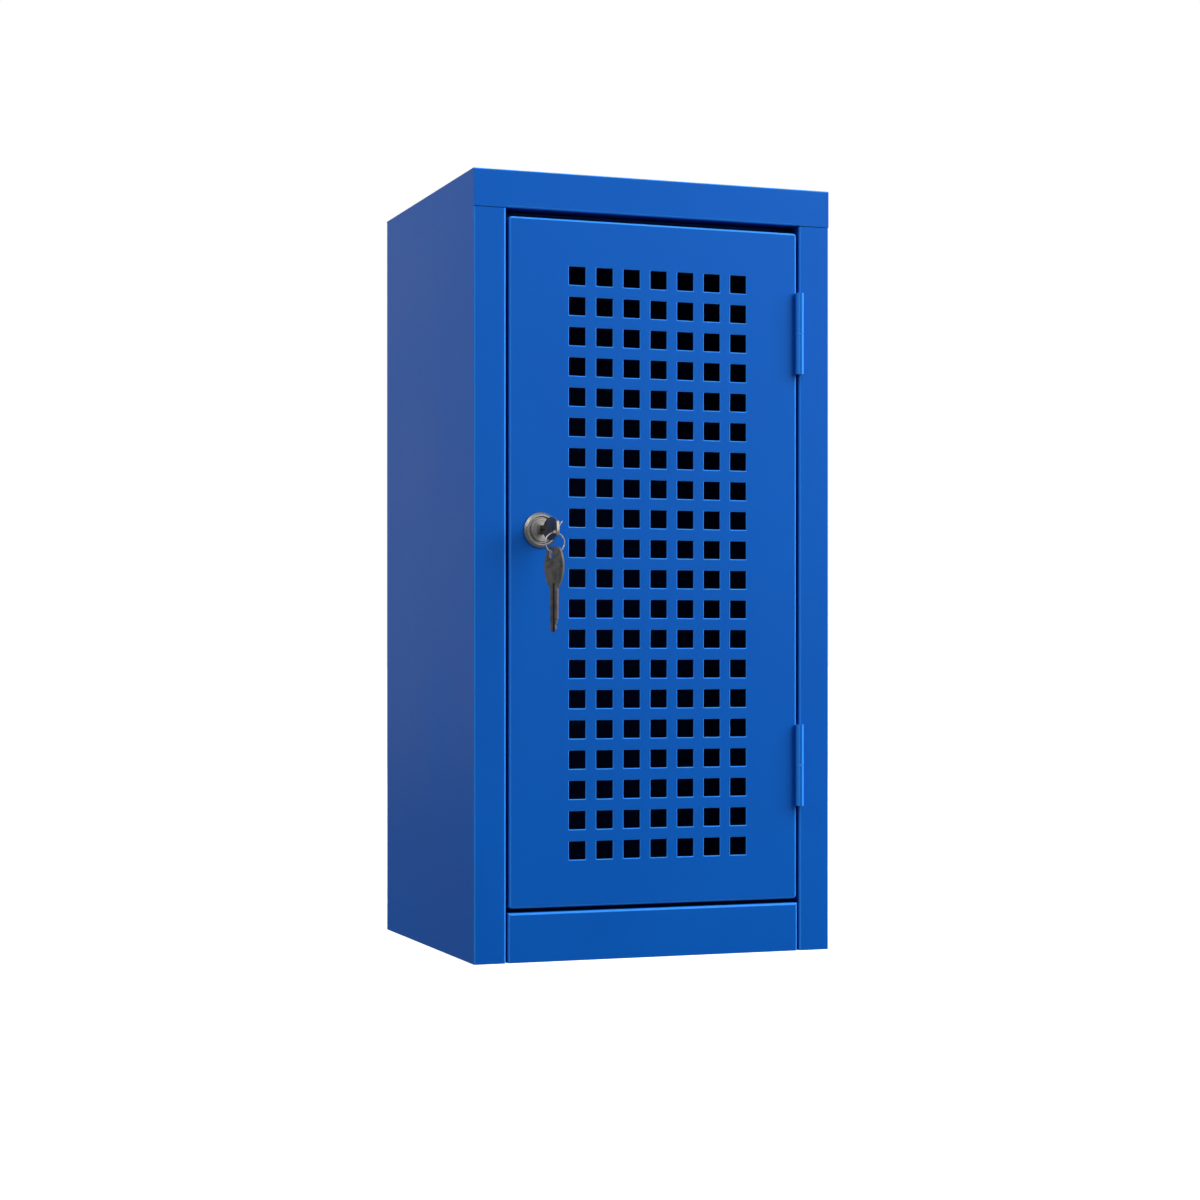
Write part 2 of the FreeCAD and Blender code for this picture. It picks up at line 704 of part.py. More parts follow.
def hinge(name, level):
    """Lift-off hinge: frame half with the pin below, door half above, and a washer between."""
    half_washer = "Sizes.washer/2"
    knuckle = f"(Sizes.knuckle - {half_washer})"
    post_face = "(Sizes.width/2 - Sizes.post_width)"
    leaf_near = f"{HINGE_Y} + (Sizes.pin_radius + Sizes.barrel_radius)/2 - Sizes.leaf/4"
    leaf_length = f"{FRONT} + Sizes.leaf_depth - ({leaf_near})"
    closed_end = "Sizes.leaf"

    low = f"{level} - Sizes.knuckle"
    barrel = cylinder(f"{name}_low_barrel", "Sizes.barrel_radius", knuckle, HINGE_X, HINGE_Y, low)
    leaf_x = f"{post_face} - Sizes.leaf"
    leaf = box(f"{name}_low_leaf", leaf_x, leaf_near, low, "Sizes.leaf", leaf_length, knuckle)
    bore = cylinder(
        f"{name}_low_bore", "Sizes.pin_radius + Sizes.pin_fixed", knuckle, HINGE_X, HINGE_Y, low
    )
    frame_half = cut(
        f"{name}_hinge_frame_half", fuse(f"{name}_low_blank", [barrel, leaf]), bore
    )

    high = f"{level} + {half_washer}"
    barrel = cylinder(f"{name}_top_barrel", "Sizes.barrel_radius", knuckle, HINGE_X, HINGE_Y, high)
    leaf = box(f"{name}_top_leaf", DOOR_HALF, leaf_near, high, "Sizes.leaf", leaf_length, knuckle)
    bore = cylinder(
        f"{name}_top_bore",
        "Sizes.pin_radius + Sizes.pin_running",
        f"{knuckle} - {closed_end}",
        HINGE_X,
        HINGE_Y,
        high,
    )
    door_half = cut(f"{name}_hinge_door_half", fuse(f"{name}_top_blank", [barrel, leaf]), bore)

    pin = cylinder(
        f"{name}_hinge_pin",
        "Sizes.pin_radius",
        f"2*Sizes.knuckle - {closed_end} - 2*Sizes.washer",
        HINGE_X,
        HINGE_Y,
        low,
    )
    ring = cylinder(
        f"{name}_washer_disc",
        "Sizes.barrel_radius - Sizes.washer_inset",
        "Sizes.washer",
        HINGE_X,
        HINGE_Y,
        f"{level} - {half_washer}",
    )
    eye = cylinder(
        f"{name}_washer_eye",
        "Sizes.pin_radius + Sizes.pin_running",
        "Sizes.washer",
        HINGE_X,
        HINGE_Y,
        f"{level} - {half_washer}",
    )
    washer = cut(f"{name}_hinge_washer", ring, eye)
    return [frame_half, door_half, pin, washer]


# ---------------------------------------------------------------- lock
def at_lock(thing, depth="0"):
    """Put a piece on the lock's axis, its own y = 0 at this depth behind the skin's face."""
    place(thing, LOCK_X, f"{FRONT} + {depth}", "Sizes.lock_level")
    return thing


def lock_rosette():
    body = new_body("lock_rosette")
    eye = "Sizes.barrel_lock + 2*Sizes.skin_clearance"
    rim = "-Sizes.rosette_edge"
    crest_out = "Sizes.rosette_radius - Sizes.crest_outside"
    crest_in = "Sizes.head_radius + Sizes.crest_inside"
    dish = "Sizes.head_radius + Sizes.dish_gap"
    revolve(
        body,
        [
            (eye, "0"),
            ("Sizes.rosette_radius", "0"),
            ("Sizes.rosette_radius", rim),
            (crest_out, "-Sizes.rosette_rise"),
            (crest_in, "-Sizes.rosette_rise"),
            (dish, "-Sizes.rosette_floor"),
            (eye, "-Sizes.rosette_floor"),
        ],
    )
    round_edge(body, "Sizes.rosette_edge", "Sizes.rosette_radius", rim)
    round_edge(body, "Sizes.rosette_edge", crest_out, "-Sizes.rosette_rise")
    return at_lock(body)


def lock_housing():
    body = new_body("lock_housing")
    front = "-Sizes.head_reach"
    rear = f"{CAM_FRONT} - Sizes.cam_gap"
    bore = "Sizes.plug_radius + Sizes.plug_running"
    tail_bore = "Sizes.plug_tail + Sizes.plug_running"
    step = "Sizes.plug_step + Sizes.plug_running"
    revolve(
        body,
        [
            (bore, front),
            ("Sizes.head_radius", front),
            ("Sizes.head_radius", "-Sizes.rosette_floor"),
            ("Sizes.barrel_lock", "-Sizes.rosette_floor"),
            ("Sizes.barrel_lock", rear),
            (tail_bore, rear),
            (tail_bore, step),
            (bore, step),
        ],
    )
    round_edge(body, "Sizes.head_edge", "Sizes.head_radius", front)
    return at_lock(body)


def lock_plug():
    """Turned plug with a keyway, and a square tail for the cam."""
    body = new_body("lock_plug")
    face = "-Sizes.head_reach + Sizes.plug_recess"
    revolve(
        body,
        [
            ("0", face),
            ("Sizes.plug_radius", face),
            ("Sizes.plug_radius", "Sizes.plug_step"),
            ("Sizes.plug_tail", "Sizes.plug_step"),
            ("Sizes.plug_tail", CAM_FRONT),
            ("0", CAM_FRONT),
        ],
    )
    round_edge(body, "Sizes.plug_recess", "Sizes.plug_radius", face)
    tail = new_sketch(body, "XZ_Plane", f"-{CAM_FRONT}")
    half = "Sizes.tail_square/2"
    add_box(tail, f"-{half}", half, f"-{half}", half)
    pad(body, tail, "Sizes.cam_thick - Sizes.tail_short", reverse=True)

    recess = new_sketch(body, "XZ_Plane", f"-({face})")
    wide, tall = "Sizes.recess_wide/2", "Sizes.recess_tall/2"
    add_box(recess, f"-{wide}", wide, f"-{tall}", tall)
    pocket(body, recess, "Sizes.recess_deep")

    keyway = new_sketch(body, "XZ_Plane", f"-({face})")
    slot = "(Sizes.key_thick/2 + Sizes.key_side)"
    rise = "(Sizes.key_blade_half + Sizes.key_side)"
    add_box(keyway, f"-{slot}", slot, f"-{rise}", rise)
    pocket(body, keyway, f"{KEYWAY_END} - ({face})")

    thread = new_sketch(body, "XZ_Plane", f"-({KEYWAY_END} + Sizes.screw_web)")
    add_circle(thread, "0", "0", "Sizes.screw_radius")
    pocket(body, thread, f"{CAM_BACK} - {KEYWAY_END}")
    return at_lock(body)


def lock_nut():
    """Hexagon nut that clamps the housing to the door's skin."""
    prism = doc.addObject("Part::Prism", "nut_blank")
    prism.Polygon = 6
    prism.setExpression("Circumradius", "Sizes.nut_radius")
    prism.setExpression("Height", "Sizes.nut_thick")
    to_back = FreeCAD.Rotation(FreeCAD.Vector(1, 0, 0), -90)
    place(prism, LOCK_X, f"{FRONT} + Sizes.sheet", "Sizes.lock_level", to_back)
    bore = doc.addObject("Part::Cylinder", "nut_bore")
    bore.setExpression("Radius", "Sizes.barrel_lock + Sizes.nut_clearance")
    bore.setExpression("Height", "Sizes.nut_thick")
    place(bore, LOCK_X, f"{FRONT} + Sizes.sheet", "Sizes.lock_level", to_back)
    return cut("lock_nut", prism, bore)


def lock_cam():
    """Flat cam, shown unlocked, pointing up."""
    body = new_body("lock_cam")
    wide = "Sizes.cam_half_width"
    outline = new_sketch(body, "XZ_Plane")
    add_box(outline, f"-{wide}", wide, f"-{wide}", "Sizes.cam_reach")
    hole = "(Sizes.tail_square/2 + Sizes.square_clearance)"
    add_box(outline, f"-{hole}", hole, f"-{hole}", hole)
    pad(body, outline, "Sizes.cam_thick", reverse=True)
    low, high = size(f"-{wide}"), size("Sizes.cam_reach")
    fillet(body, "Sizes.cam_tail_round", lambda e: along(e, "y") and passes(e, z=low))
    fillet(body, "Sizes.cam_tip_round", lambda e: along(e, "y") and passes(e, z=high))
    return at_lock(body, CAM_FRONT)


def cam_washer():
    body = new_body("cam_washer")
    eye = "Sizes.screw_radius + Sizes.washer_clearance"
    revolve(
        body,
        [
            (eye, "0"),
            ("Sizes.cam_washer_radius", "0"),
            ("Sizes.cam_washer_radius", "Sizes.cam_washer_thick"),
            (eye, "Sizes.cam_washer_thick"),
        ],
    )
    return at_lock(body, CAM_BACK)


def cam_screw():
    """Slotted screw that holds the cam and its washer on the plug's tail."""
    body = new_body("cam_screw")
    seat = "Sizes.cam_washer_thick"
    shank = "Sizes.screw_radius - Sizes.screw_clearance"
    tip = f"({KEYWAY_END} + Sizes.screw_web + Sizes.tail_short - {CAM_BACK})"
    head_end = f"{seat} + Sizes.screw_head_thick"
    revolve(
        body,
        [
            ("0", tip),
            (shank, tip),
            (shank, seat),
            ("Sizes.screw_head_radius", seat),
            ("Sizes.screw_head_radius", head_end),
            ("0", head_end),
        ],
    )
    round_edge(body, "Sizes.screw_head_round", "Sizes.screw_head_radius", head_end)
    slot = new_sketch(body, "XZ_Plane", f"-({head_end} - Sizes.screw_slot_deep)")
    reach, half = "(2*Sizes.screw_head_radius)", "Sizes.screw_slot/2"
    add_box(slot, f"-{reach}", reach, f"-{half}", half)
    pocket(body, slot, "Sizes.screw_head_thick")
    return at_lock(body, CAM_BACK)


# ---------------------------------------------------------------- keys
def key(label):
    """Cylinder key lying in its own YZ plane: bow's end at y = 0, tip towards +Y."""
    body = new_body(label)
    bow, half, belly = "Sizes.key_bow", "Sizes.key_bow_half", "Sizes.bow_belly"
    crown, end_half, root_half = "Sizes.bow_crown", "Sizes.bow_end_half", "Sizes.bow_root_half"
    blade, tip = "Sizes.key_blade_half", "(Sizes.key_bow + Sizes.key_blade)"
    shoulder = f"{bow} + Sizes.shoulder_run"
    corners = [(bow, root_half), (shoulder, blade)]
    corners += [(f"{tip} - {back}", f"{share}*{blade}") for back, share in BITTING]
    corners += [(shoulder, f"-{blade}"), (bow, f"-{root_half}")]
    pieces = [list(pair) for pair in zip(corners, corners[1:])]
    pieces.append([(bow, f"-{root_half}"), (belly, f"-{half}"), (crown, f"-{end_half}")])
    pieces.append([(crown, f"-{end_half}"), ("0", "0"), (crown, end_half)])
    pieces.append([(crown, end_half), (belly, half), (bow, root_half)])
    outline = new_sketch(body, "YZ_Plane")
    add_closed_path(outline, pieces)
    pad(body, outline, "Sizes.key_thick", symmetric=True)

    # Slot for the ring: two half circles and two straight sides.
    start, length = "Sizes.slot_start", "Sizes.slot_long"
    r, centre = "Sizes.slot_half", "(-Sizes.slot_offset)"
    near, far = f"({start} + {r})", f"({start} + {length} - {r})"
    slot = new_sketch(body, "YZ_Plane")
    add_closed_path(
        slot,
        [
            [(near, f"{centre} - {r}"), (far, f"{centre} - {r}")],
            [(far, f"{centre} - {r}"), (f"{far} + {r}", centre), (far, f"{centre} + {r}")],
            [(far, f"{centre} + {r}"), (near, f"{centre} + {r}")],
            [(near, f"{centre} + {r}"), (f"{near} - {r}", centre), (near, f"{centre} - {r}")],
        ],
    )
    pocket(body, slot, "2*Sizes.key_thick", symmetric=True)

    # A groove down each side of the blade, and a punched dimple on the bow.
    for side in (-1, 1):
        face = f"{side}*Sizes.key_thick/2"
        groove = new_sketch(body, "YZ_Plane", face)
        low, high = GROOVE
        add_box(groove, f"{bow} - {GROOVE_START}", f"{tip} + 1", f"{low}*{blade}", f"{high}*{blade}")
        pocket(body, groove, "Sizes.groove_deep", reverse=side < 0)
        dimple = new_sketch(body, "YZ_Plane", face)
        add_circle(dimple, belly, "-Sizes.dimple_offset", "Sizes.dimple_radius")
        pocket(body, dimple, "Sizes.dimple_deep", reverse=side < 0)
    return body


def inserted_key():
    body = key("inserted_key")
    place(body, LOCK_X, f"{FRONT} - Sizes.key_out", "Sizes.lock_level")
    return body


def key_ring():
    """Wire ring in a plane parallel to the door, with one end bent up behind the bow."""
    torus = doc.addObject("Part::Torus", "ring_loop")
    torus.setExpression("Radius1", "Sizes.ring_radius")
    torus.setExpression("Radius2", "Sizes.wire_radius")
    upright = FreeCAD.Rotation(FreeCAD.Vector(1, 0, 0), 90)
    place(torus, LOCK_X, RING_Y, RING_Z, upright)
    pieces = [torus]
    for index, (low, high) in enumerate(zip(RING_TAIL, RING_TAIL[1:])):
        across, rise = high[0] - low[0], high[1] - low[1]
        run = (across**2 + rise**2) ** 0.5
        lean = FreeCAD.Rotation(FreeCAD.Vector(0, 0, 1), FreeCAD.Vector(across, 0, rise))
        wire = doc.addObject("Part::Cylinder", f"ring_end_{index}")
        wire.setExpression("Radius", "0.9*Sizes.wire_radius")
        wire.setExpression("Height", f"{run:.4f}*Sizes.ring_radius")
        place(
            wire,
            f"{LOCK_X} + {low[0]}*Sizes.ring_radius",
            RING_Y,
            f"{RING_Z} + {low[1]}*Sizes.ring_radius",
            lean,
        )
        ball = doc.addObject("Part::Sphere", f"ring_bend_{index}")
        ball.setExpression("Radius", "Sizes.wire_radius")
        place(
            ball,
            f"{LOCK_X} + {high[0]}*Sizes.ring_radius",
            RING_Y,
            f"{RING_Z} + {high[1]}*Sizes.ring_radius",
        )
        pieces += [wire, ball]
    return fuse("key_ring", pieces)


def spare_key():
    """The second key, hanging by its own slot from the ring's lowest quarter."""
    body = key("spare_key")
    turned = FreeCAD.Rotation(FreeCAD.Vector(0, 0, 1), -size("Sizes.spare_yaw"))
    across = turned.multVec(FreeCAD.Vector(1, 0, 0))
    down = FreeCAD.Vector(0, 0, -1)
    stand = FreeCAD.Rotation(down.cross(across), down, across, "ZYX")
    wire_x = f"{LOCK_X} - Sizes.ring_radius*sin(Sizes.spare_along*1deg)"
    wire_z = f"{RING_Z} - Sizes.ring_radius*cos(Sizes.spare_along*1deg)"
    place(
        body,
        f"{wire_x} + Sizes.slot_offset*cos(Sizes.spare_yaw*1deg)",
        f"{RING_Y} - Sizes.slot_offset*sin(Sizes.spare_yaw*1deg)",
        f"{wire_z} + Sizes.spare_in_slot",
        stand,
    )
    return body


# ---------------------------------------------------------------- build
left_side = side_panel("left_side_panel", -1)
drill_buffer_holes(left_side)
nodes = [
    left_side,
    side_panel("right_side_panel", 1),
    top_panel(),
    floor_panel(),
    plinth_panel(),
    back_panel(),
    door_panel(),
]
nodes += [door_buffer(label, level) for label, level in BUFFER_LEVELS.items()]
nodes += hinge("lower", "Sizes.hinge_low")
nodes += hinge("upper", "Sizes.hinge_high")
nodes += [lock_rosette(), lock_housing(), lock_nut(), lock_plug()]
nodes += [lock_cam(), cam_washer(), cam_screw()]
nodes += [inserted_key(), key_ring(), spare_key()]
doc.recompute()

for thing in doc.Objects:
    if {"Invalid", "Error"} & set(thing.State):
        raise RuntimeError(f"{thing.Label} failed: {thing.State}")
for node in nodes:
    shape = node.Shape
    if shape.isNull() or not shape.isValid() or len(shape.Solids) != 1:
        raise RuntimeError(f"{node.Label} is not one valid solid")

os.makedirs("parts", exist_ok=True)
for node in nodes:
    node.Shape.exportStep(f"parts/{node.Label}.step")
print(len(nodes), "nodes")
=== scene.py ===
from math import cos, radians, sin

import bpy
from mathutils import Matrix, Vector


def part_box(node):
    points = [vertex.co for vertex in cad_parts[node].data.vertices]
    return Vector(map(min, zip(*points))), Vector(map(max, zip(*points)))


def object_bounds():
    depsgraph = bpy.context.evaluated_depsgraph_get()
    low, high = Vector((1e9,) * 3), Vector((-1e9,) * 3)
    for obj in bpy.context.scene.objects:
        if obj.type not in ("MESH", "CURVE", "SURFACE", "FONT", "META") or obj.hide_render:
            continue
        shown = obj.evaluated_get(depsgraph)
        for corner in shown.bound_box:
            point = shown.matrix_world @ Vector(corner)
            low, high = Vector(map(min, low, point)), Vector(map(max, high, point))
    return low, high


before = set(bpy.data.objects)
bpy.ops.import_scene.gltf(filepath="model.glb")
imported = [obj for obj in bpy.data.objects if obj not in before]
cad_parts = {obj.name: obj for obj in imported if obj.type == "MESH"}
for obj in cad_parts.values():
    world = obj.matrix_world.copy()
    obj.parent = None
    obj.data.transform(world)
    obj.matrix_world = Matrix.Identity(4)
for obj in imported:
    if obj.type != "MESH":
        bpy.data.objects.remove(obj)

cad_low, cad_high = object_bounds()

# ------------------------------------------------------------------ places, from the frame
rosette_low, rosette_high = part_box("lock_rosette")
lock_x = (rosette_low[0] + rosette_high[0]) / 2
lock_z = (rosette_low[2] + rosette_high[2]) / 2
middle_z = (cad_low[2] + cad_high[2]) / 2
front_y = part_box("door_panel")[0][1]
back_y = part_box("back_panel")[1][1]
side_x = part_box("right_side_panel")[1][0]
top_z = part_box("top_panel")[1][2]


# ------------------------------------------------------------------ node helpers
class Nodes:
    """A material's node tree, with one short method for each kind of node used here."""

    def __init__(self, name):
        self.material = bpy.data.materials.new(name)
        self.material.use_nodes = True
        self.tree = self.material.node_tree
        self.shader = self.tree.nodes["Principled BSDF"]
        coordinates = self.tree.nodes.new("ShaderNodeTexCoord")
        self.place = coordinates.outputs["Object"]
        self.normal = coordinates.outputs["Normal"]

    def put(self, socket, value):
        if isinstance(value, bpy.types.NodeSocket):
            self.tree.links.new(value, socket)
        elif isinstance(value, tuple) and len(value) == 3 and socket.type == "RGBA":
            socket.default_value = (*value, 1)
        else:
            socket.default_value = value

    def math(self, operation, a, b=0.0):
        node = self.tree.nodes.new("ShaderNodeMath")
        node.operation = operation
        self.put(node.inputs[0], a)
        self.put(node.inputs[1], b)
        return node.outputs[0]

    def ramp(self, value, start, end, low=0.0, high=1.0):
        """Straight change from low to high while the value goes from start to end."""
        node = self.tree.nodes.new("ShaderNodeMapRange")
        for socket, number in zip(node.inputs, (value, start, end, low, high)):
            self.put(socket, number)
        return node.outputs[0]

    def axes(self, vector):
        """The three components of a vector."""
        node = self.tree.nodes.new("ShaderNodeSeparateXYZ")
        self.put(node.inputs[0], vector)
        return node.outputs[:]

    def stretched(self, scale):
        """The place with each axis scaled: a pattern grows long along an axis with a small scale."""
        node = self.tree.nodes.new("ShaderNodeMapping")
        self.put(node.inputs["Vector"], self.place)
        node.inputs["Scale"].default_value = scale
        return node.outputs[0]

    def noise(self, scale, detail, vector=None):
        """Noise of so many waves per metre."""
        node = self.tree.nodes.new("ShaderNodeTexNoise")
        self.put(node.inputs["Vector"], vector or self.place)
        node.inputs["Scale"].default_value = scale
        node.inputs["Detail"].default_value = detail
        return node.outputs["Fac"]

    def blend(self, factor, first, second):
        """Colour that goes from first to second while the factor goes from 0 to 1."""
        node = self.tree.nodes.new("ShaderNodeMix")
        node.data_type = "RGBA"
        for index, value in ((0, factor), (6, first), (7, second)):  # 6 and 7 are its colour sockets
            self.put(node.inputs[index], value)
        return node.outputs[2]

    def dot(self, vector, direction):
        node = self.tree.nodes.new("ShaderNodeVectorMath")
        node.operation = "DOT_PRODUCT"
        self.put(node.inputs[0], vector)
        node.inputs[1].default_value = direction
        return node.outputs["Value"]

    def bump(self, height, distance, strength, under=None):
        """Normal tipped by a height, on top of the bump under it."""
        node = self.tree.nodes.new("ShaderNodeBump")
        node.inputs["Strength"].default_value = strength
        node.inputs["Distance"].default_value = distance
        self.put(node.inputs["Height"], height)
        if under is not None:
            self.put(node.inputs["Normal"], under)
        return node.outputs[0]

    def radius_from(self, x, z):
        """Distance from the line along Y through x and z."""
        value = self.place
        for operation, constant in (("SUBTRACT", (x, 0, z)), ("MULTIPLY", (1, 0, 1)), ("LENGTH", None)):
            node = self.tree.nodes.new("ShaderNodeVectorMath")
            node.operation = operation
            self.put(node.inputs[0], value)
            if constant:
                node.inputs[1].default_value = constant
            value = node.outputs[0]
        return node.outputs["Value"]

    def finish(self, colour, roughness, normal=None, **constants):
        """Feed the shader, set its constants, and give back the material."""
        self.put(self.shader.inputs["Base Color"], colour)
        self.put(self.shader.inputs["Roughness"], roughness)
        if normal is not None:
            self.put(self.shader.inputs["Normal"], normal)
        for name, number in constants.items():
            self.shader.inputs[name.replace("_", " ")].default_value = number
        return self.material


# ------------------------------------------------------------------ materials
BLUE = (0.0004, 0.099, 0.48)
BLUE_LIGHT = (0.0012, 0.113, 0.53)
# painted highlight colour for the folds and hole rims
BLUE_FOLD_HIGHLIGHT = (0.030, 0.27, 0.90)
# painted shade: near-black navy for the cabinet's inside, where shade falls
BLUE_PAINTED_SHADE = (0.0006, 0.0016, 0.014)
COAT_SPECULAR = 0.09
SKIN_START, SKIN_END = 0.0004, 0.0008  # depth in a 1 mm sheet over which the painted inside shade sets in
MOUTH_START, MOUTH_END = 0.002, 0.016  # depth behind the door's face over which the painted inside shade sets in
LATHE_TURNS = 26000  # radians of the lathe marks' wave for each metre of radius
KEY_HALF_THICK = 0.001
SPARE_YAW = radians(56)  # the spare key's flat is turned this far from facing the door
INSIDE_PAINTED_SHADE = 0.72  # share of the painted shade colour inside the cabinet, so that the holes look as dark as a closed cabinet's


def powder_coat(name, painted_inside_shade=0.0):
    """Blue powder coat: orange peel, faint clouding, a painted highlight round the folds, and a share of
    painted shade inside the cabinet.
    """
    n = Nodes(name)
    peel = n.noise(620, 2)
    grain = n.noise(2600, 1)
    cloud = n.noise(7, 3)
    sheet_wave = n.noise(3.2, 1)
    tint = n.ramp(n.math("ADD", n.math("MULTIPLY", grain, 0.5), cloud), 0.45, 1.05)
    colour = n.blend(tint, BLUE, BLUE_LIGHT)
    # Painted highlight: the coat is painted lighter round the folds, where the normal is along no axis.
    facing = [n.math("ABSOLUTE", axis) for axis in n.axes(n.normal)]
    flat = n.math("MAXIMUM", n.math("MAXIMUM", facing[0], facing[1]), facing[2])
    fold_highlight = n.ramp(flat, 0.998, 0.93)
    colour = n.blend(fold_highlight, colour, BLUE_FOLD_HIGHLIGHT)
    if painted_inside_shade:
        # Painted shade: the inside of the cabinet is painted towards near-black navy, in place of the
        # shade there.
        x, y, z = n.axes(n.place)
        inside = n.ramp(y, front_y + MOUTH_START, front_y + MOUTH_END)
        for place, skin in ((y, back_y), (n.math("ABSOLUTE", x), side_x), (z, top_z)):
            inside = n.math("MULTIPLY", inside, n.ramp(place, skin - SKIN_START, skin - SKIN_END))
        inside = n.math("MULTIPLY", inside, n.ramp(z, SKIN_START, SKIN_END))
        colour = n.blend(n.math("MULTIPLY", inside, painted_inside_shade), colour, BLUE_PAINTED_SHADE)
    roughness = n.ramp(n.math("ADD", peel, cloud), 0.6, 1.4, 0.34, 0.44)
    normal = n.bump(sheet_wave, 0.004, 0.25)
    normal = n.bump(peel, 0.00006, 0.35, normal)
    normal = n.bump(grain, 0.00002, 0.3, normal)
    return n.finish(colour, roughness, normal, Specular_IOR_Level=COAT_SPECULAR)


def satin_nickel(name):
    """Nickel plating over turned zinc: fine lathe rings round the lock's axis, faint smudges."""
    n = Nodes(name)
    rings = n.math("SINE", n.math("MULTIPLY", n.radius_from(lock_x, lock_z), LATHE_TURNS))
    scuffs = n.noise(900, 3, n.stretched((1, 0.2, 1)))
    smudge = n.noise(160, 2)
    colour = n.blend(n.ramp(smudge, 0.35, 0.7), (0.40, 0.385, 0.365), (0.58, 0.56, 0.535))
    roughness = n.ramp(n.math("ADD", scuffs, smudge), 0.7, 1.3, 0.24, 0.42)
    normal = n.bump(rings, 0.000012, 0.5)
    normal = n.bump(scuffs, 0.00003, 0.25, normal)
    return n.finish(colour, roughness, normal, Metallic=1.0)


def key_metal(name, across, low, high):
    """Worn nickel on a brass key: grey flats with scratches, warm bare edges, painted shade in the groove.

    across is the key's thickness direction, and low and high are the corners of its box.
    """
    n = Nodes(name)
    flat = n.math("ABSOLUTE", n.dot(n.normal, across))
    edge = n.ramp(flat, 0.85, 0.5)
    middle = ((low + high) / 2).dot(Vector(across))
    off_middle = n.math("ABSOLUTE", n.math("SUBTRACT", n.dot(n.place, across), middle))
    groove = n.ramp(off_middle, KEY_HALF_THICK - 0.0001, KEY_HALF_THICK - 0.0003)
    along_blade = (1, 0.12, 0.12) if across[0] == 1 else (1, 1, 0.12)
    scratches = n.noise(420, 4, n.stretched(along_blade))
    tarnish = n.noise(240, 3)
    grey = n.blend(n.ramp(tarnish, 0.35, 0.68), (0.135, 0.13, 0.125), (0.24, 0.23, 0.22))
    bare = n.blend(tarnish, (0.62, 0.50, 0.38), (0.90, 0.80, 0.66))
    # Painted shade: the groove's floor is painted near black, where shade falls in it.
    colour = n.blend(groove, grey, (0.035, 0.038, 0.05))
    colour = n.blend(edge, colour, bare)
    roughness = n.ramp(scratches, 0.3, 0.7, 0.26, 0.46)
    normal = n.bump(scratches, 0.00004, 0.5)
    return n.finish(colour, roughness, normal, Metallic=1.0)


def ring_wire(name):
    """Drawn nickel-plated wire: fine marks along its length."""
    n = Nodes(name)
    marks = n.noise(1500, 2)
    colour = n.blend(marks, (0.52, 0.45, 0.42), (0.80, 0.74, 0.70))
    roughness = n.ramp(marks, 0.3, 0.7, 0.2, 0.34)
    return n.finish(colour, roughness, n.bump(marks, 0.00002, 0.3), Metallic=1.0)


def zinc(name):
    """Bright zinc plating on steel: faint spangle and a bluish cast."""
    n = Nodes(name)
    spangle = n.noise(700, 3)
    stain = n.noise(120, 2)
    colour = n.blend(n.ramp(stain, 0.3, 0.7), (0.50, 0.53, 0.57), (0.68, 0.68, 0.66))
    roughness = n.ramp(spangle, 0.3, 0.7, 0.28, 0.48)
    return n.finish(colour, roughness, n.bump(spangle, 0.00003, 0.3), Metallic=1.0)


def rubber(name):
    """Moulded black rubber with a dusty, slightly pitted skin."""
    n = Nodes(name)
    pits = n.noise(2400, 2)
    dust = n.noise(300, 3)
    colour = n.blend(n.ramp(dust, 0.4, 0.8), (0.012, 0.012, 0.013), (0.040, 0.040, 0.041))
    roughness = n.ramp(pits, 0.3, 0.7, 0.62, 0.82)
    return n.finish(colour, roughness, n.bump(pits, 0.00004, 0.5))


# The cabinet's coat carries the painted inside shade; the fittings' coat has none.
blue = powder_coat("blue powder coat", INSIDE_PAINTED_SHADE)
blue_outside = powder_coat("blue powder coat, fittings")
nickel = satin_nickel("satin nickel")
zinc_plate = zinc("zinc plate")
FINISHES = {
    "door_panel": blue_outside,
    "inserted_key": key_metal("worn key", (1, 0, 0), *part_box("inserted_key")),
    "spare_key": key_metal(
        "worn spare key", (sin(SPARE_YAW), cos(SPARE_YAW), 0), *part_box("spare_key")
    ),
    "key_ring": ring_wire("ring wire"),
    "lock_rosette": nickel,
    "lock_housing": nickel,
    "lock_plug": nickel,
    "lock_nut": zinc_plate,
    "lock_cam": zinc_plate,
    "cam_washer": zinc_plate,
    "cam_screw": zinc_plate,
}
for level in ("lower", "upper"):
    FINISHES[f"{level}_door_buffer"] = rubber(f"{level} rubber")
    FINISHES[f"{level}_hinge_pin"] = zinc_plate
    FINISHES[f"{level}_hinge_washer"] = zinc_plate
    FINISHES[f"{level}_hinge_frame_half"] = blue_outside
    FINISHES[f"{level}_hinge_door_half"] = blue_outside

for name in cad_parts:
    node = bpy.data.objects[name]
    finish = FINISHES.get(name, blue)
    if not node.material_slots:
        node.data.materials.append(finish)
    for material_slot in node.material_slots:
        material_slot.material = finish

# ------------------------------------------------------------------ floor
FLOOR_DROP = 0.0003  # keeps the floor clear of the underside
bpy.ops.mesh.primitive_plane_add(size=60, location=(0, 0, cad_low[2] - FLOOR_DROP))
floor = bpy.context.object
floor.name = "floor"
ground = Nodes("pale floor")
grey = ground.blend(ground.noise(40, 2), (0.60, 0.60, 0.60), (0.62, 0.62, 0.62))
ground.finish(grey, 0.9, Specular_IOR_Level=0.0, Emission_Strength=0.88)
ground.shader.inputs["Emission Color"].default_value = (1, 1, 1, 1)
floor.data.materials.append(ground.material)
floor.visible_diffuse = floor.visible_glossy = False

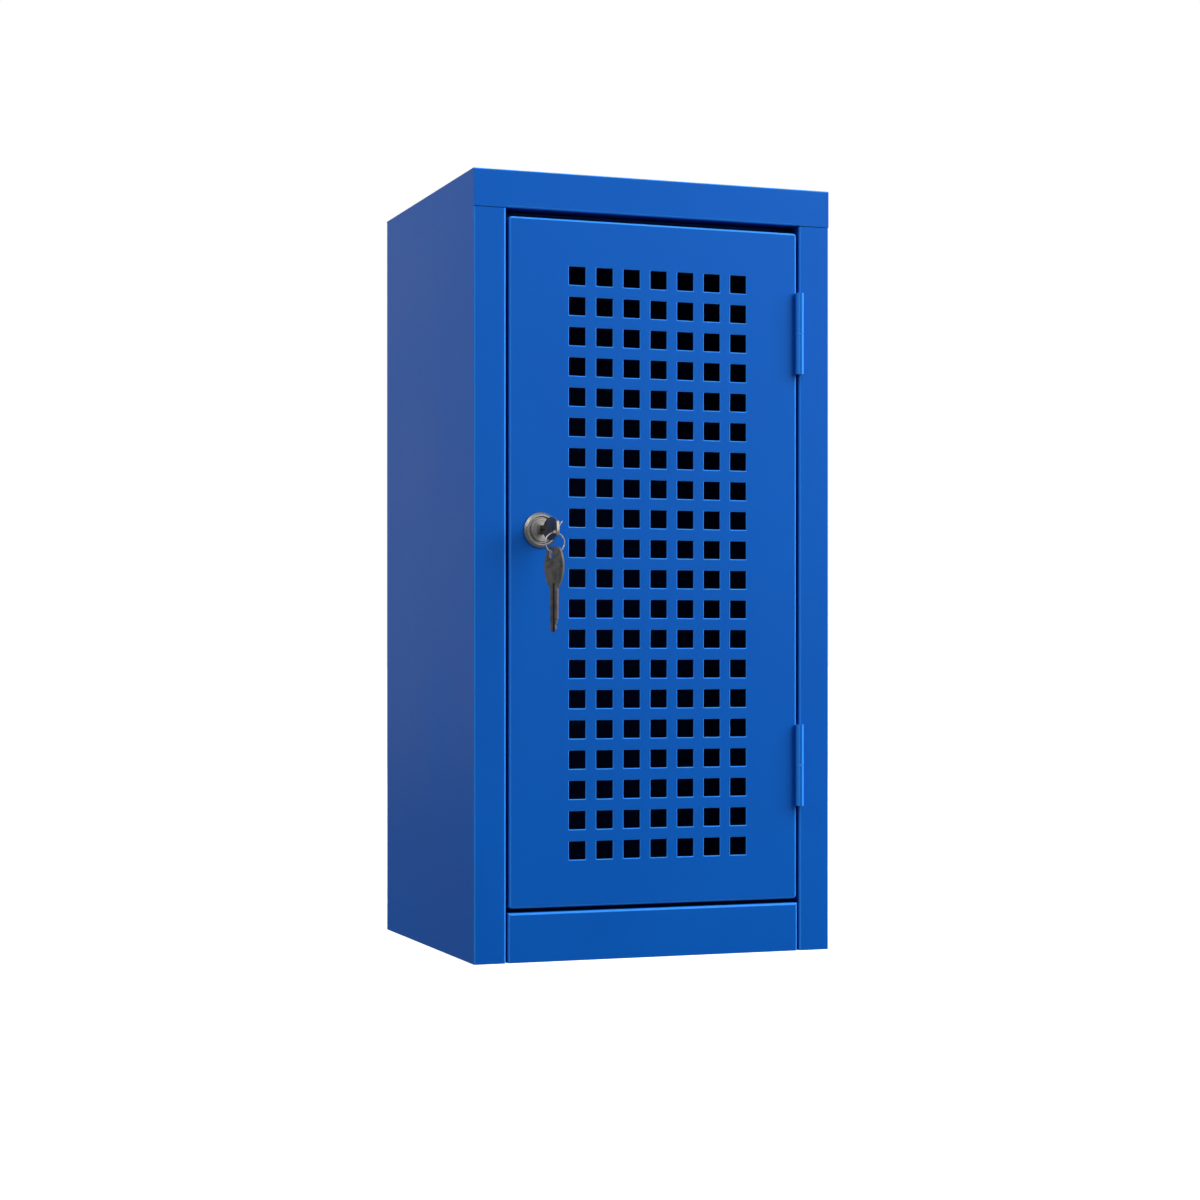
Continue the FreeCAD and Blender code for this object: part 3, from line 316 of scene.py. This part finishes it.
# ------------------------------------------------------------------ light
HORIZON, ZENITH = (-0.15, 0.16), (0.9, 0.66)  # height of the direction, and the room's strength there
world = bpy.data.worlds.new("studio")
bpy.context.scene.world = world
world.use_nodes = True
tree = world.node_tree
room = tree.nodes["Background"]
coordinates = tree.nodes.new("ShaderNodeTexCoord")
height = tree.nodes.new("ShaderNodeSeparateXYZ")
tree.links.new(coordinates.outputs["Generated"], height.inputs[0])
glow = tree.nodes.new("ShaderNodeMapRange")
for socket, number in zip(glow.inputs[1:], (HORIZON[0], ZENITH[0], HORIZON[1], ZENITH[1])):
    socket.default_value = number
tree.links.new(height.outputs["Z"], glow.inputs[0])
tree.links.new(glow.outputs[0], room.inputs["Strength"])
room.inputs["Color"].default_value = (0.95, 0.975, 1.0, 1)
white = tree.nodes.new("ShaderNodeBackground")  # what the camera sees behind the object
white.inputs["Color"].default_value = (1, 1, 1, 1)
path = tree.nodes.new("ShaderNodeLightPath")
mix = tree.nodes.new("ShaderNodeMixShader")
tree.links.new(path.outputs["Is Camera Ray"], mix.inputs[0])
tree.links.new(room.outputs[0], mix.inputs[1])
tree.links.new(white.outputs[0], mix.inputs[2])
tree.links.new(mix.outputs[0], tree.nodes["World Output"].inputs["Surface"])


def softbox(name, place, size, watts, colour=(1, 1, 1), lights=True, mirrored=True):
    """Square area light that faces the middle of the object.

    lights and mirrored say whether it lights matt surfaces and shows in glossy ones.
    """
    data = bpy.data.lights.new(name, "AREA")
    data.shape, data.size, data.energy, data.color = "SQUARE", size, watts, colour
    lamp = bpy.data.objects.new(name, data)
    bpy.context.collection.objects.link(lamp)
    lamp.location = place
    aim = Vector((0, 0, middle_z)) - Vector(place)
    lamp.rotation_euler = aim.to_track_quat("-Z", "Y").to_euler()
    lamp.visible_camera = False
    lamp.visible_diffuse, lamp.visible_glossy = lights, mirrored


softbox("key light", (1.68, -0.98, 1.69), 2.6, 114, mirrored=False)
softbox("front reflector", (0.9, -2.2, 0.8), 2.0, 10, lights=False)
softbox("side light", (-1.9, -0.1, 1.9), 1.8, 20, (0.95, 0.98, 1.0))
softbox("back light", (0.5, 2.3, 1.7), 1.4, 30)
softbox("side reflector", (-0.8, 2.3, 0.95), 1.9, 3.2)

# ------------------------------------------------------------------ camera
data = bpy.data.cameras.new("camera")
camera = bpy.data.objects.new("camera", data)
bpy.context.collection.objects.link(camera)
camera.location = (-0.6897, -1.9103, 0.2368)
camera.rotation_euler = (radians(90), 0, radians(-19.85))
data.sensor_width, data.lens, data.shift_y = 36, 74.29, 0.0417
bpy.context.scene.camera = camera
bpy.context.scene.view_settings.view_transform = "Standard"
